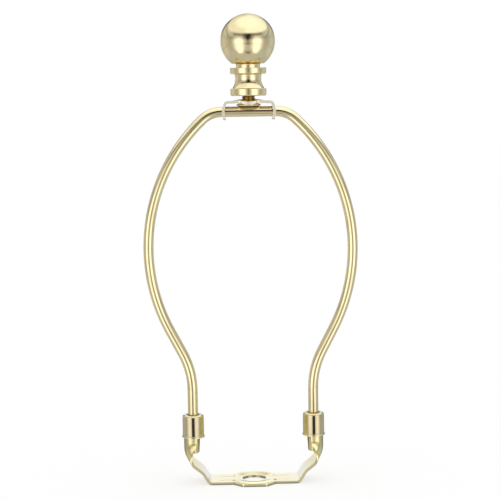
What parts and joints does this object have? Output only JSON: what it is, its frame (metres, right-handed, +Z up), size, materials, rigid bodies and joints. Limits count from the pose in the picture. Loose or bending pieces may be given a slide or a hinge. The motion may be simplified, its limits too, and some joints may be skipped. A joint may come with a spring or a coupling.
{
  "type": "lamp harp",
  "caption": "Table-lamp harp: a bent wire loop locked into a pressed saddle by sliding ferrules, with a shade rest plate, threaded stud and ball finial.",
  "frame": {"origin": "centre of the saddle's pipe hole, on the saddle's underside", "axes": "+Z up the pipe axis to the finial, X across the wire loop, Y through the loop towards the back"},
  "size_m": [0.0996, 0.0254, 0.2184],
  "materials": {
    "saddle_plating": "bright pale gold plating on pressed sheet",
    "wire_plating": "bright pale gold plating on drawn wire",
    "ferrule_plating": "polished pale gold plating on drawn cups",
    "plate_plating": "bright pale gold plating on a stamping",
    "stud_plating": "bright gold plating on a threaded stud",
    "finial_metal": "polished pale gold turned metal"
  },
  "bodies": {
    "saddle_body": {"saddle": "saddle_plating"},
    "harp_body": {"harp_wire": "wire_plating", "shade_rest_plate": "plate_plating", "threaded_stud": "stud_plating"},
    "left_ferrule": {"ferrule_left": "ferrule_plating"},
    "right_ferrule": {"ferrule_right": "ferrule_plating"},
    "finial": {"finial_base": "finial_metal", "finial_ball": "finial_metal"}
  },
  "joints": [
    {"name": "harp_lift", "type": "slide", "parent": "saddle_body", "child": "harp_body", "axis": [0, 0, 1], "range_m": [0, 0.03]},
    {"name": "left_ferrule_slide", "type": "slide", "parent": "harp_body", "child": "left_ferrule", "axis": [0, 0, 1], "range_m": [0, 0.015]},
    {"name": "right_ferrule_slide", "type": "slide", "parent": "harp_body", "child": "right_ferrule", "axis": [0, 0, 1], "range_m": [0, 0.015]},
    {"name": "finial_lift", "type": "slide", "parent": "harp_body", "child": "finial", "axis": [0, 0, 1], "range_m": [0, 0.03]}
  ]
}
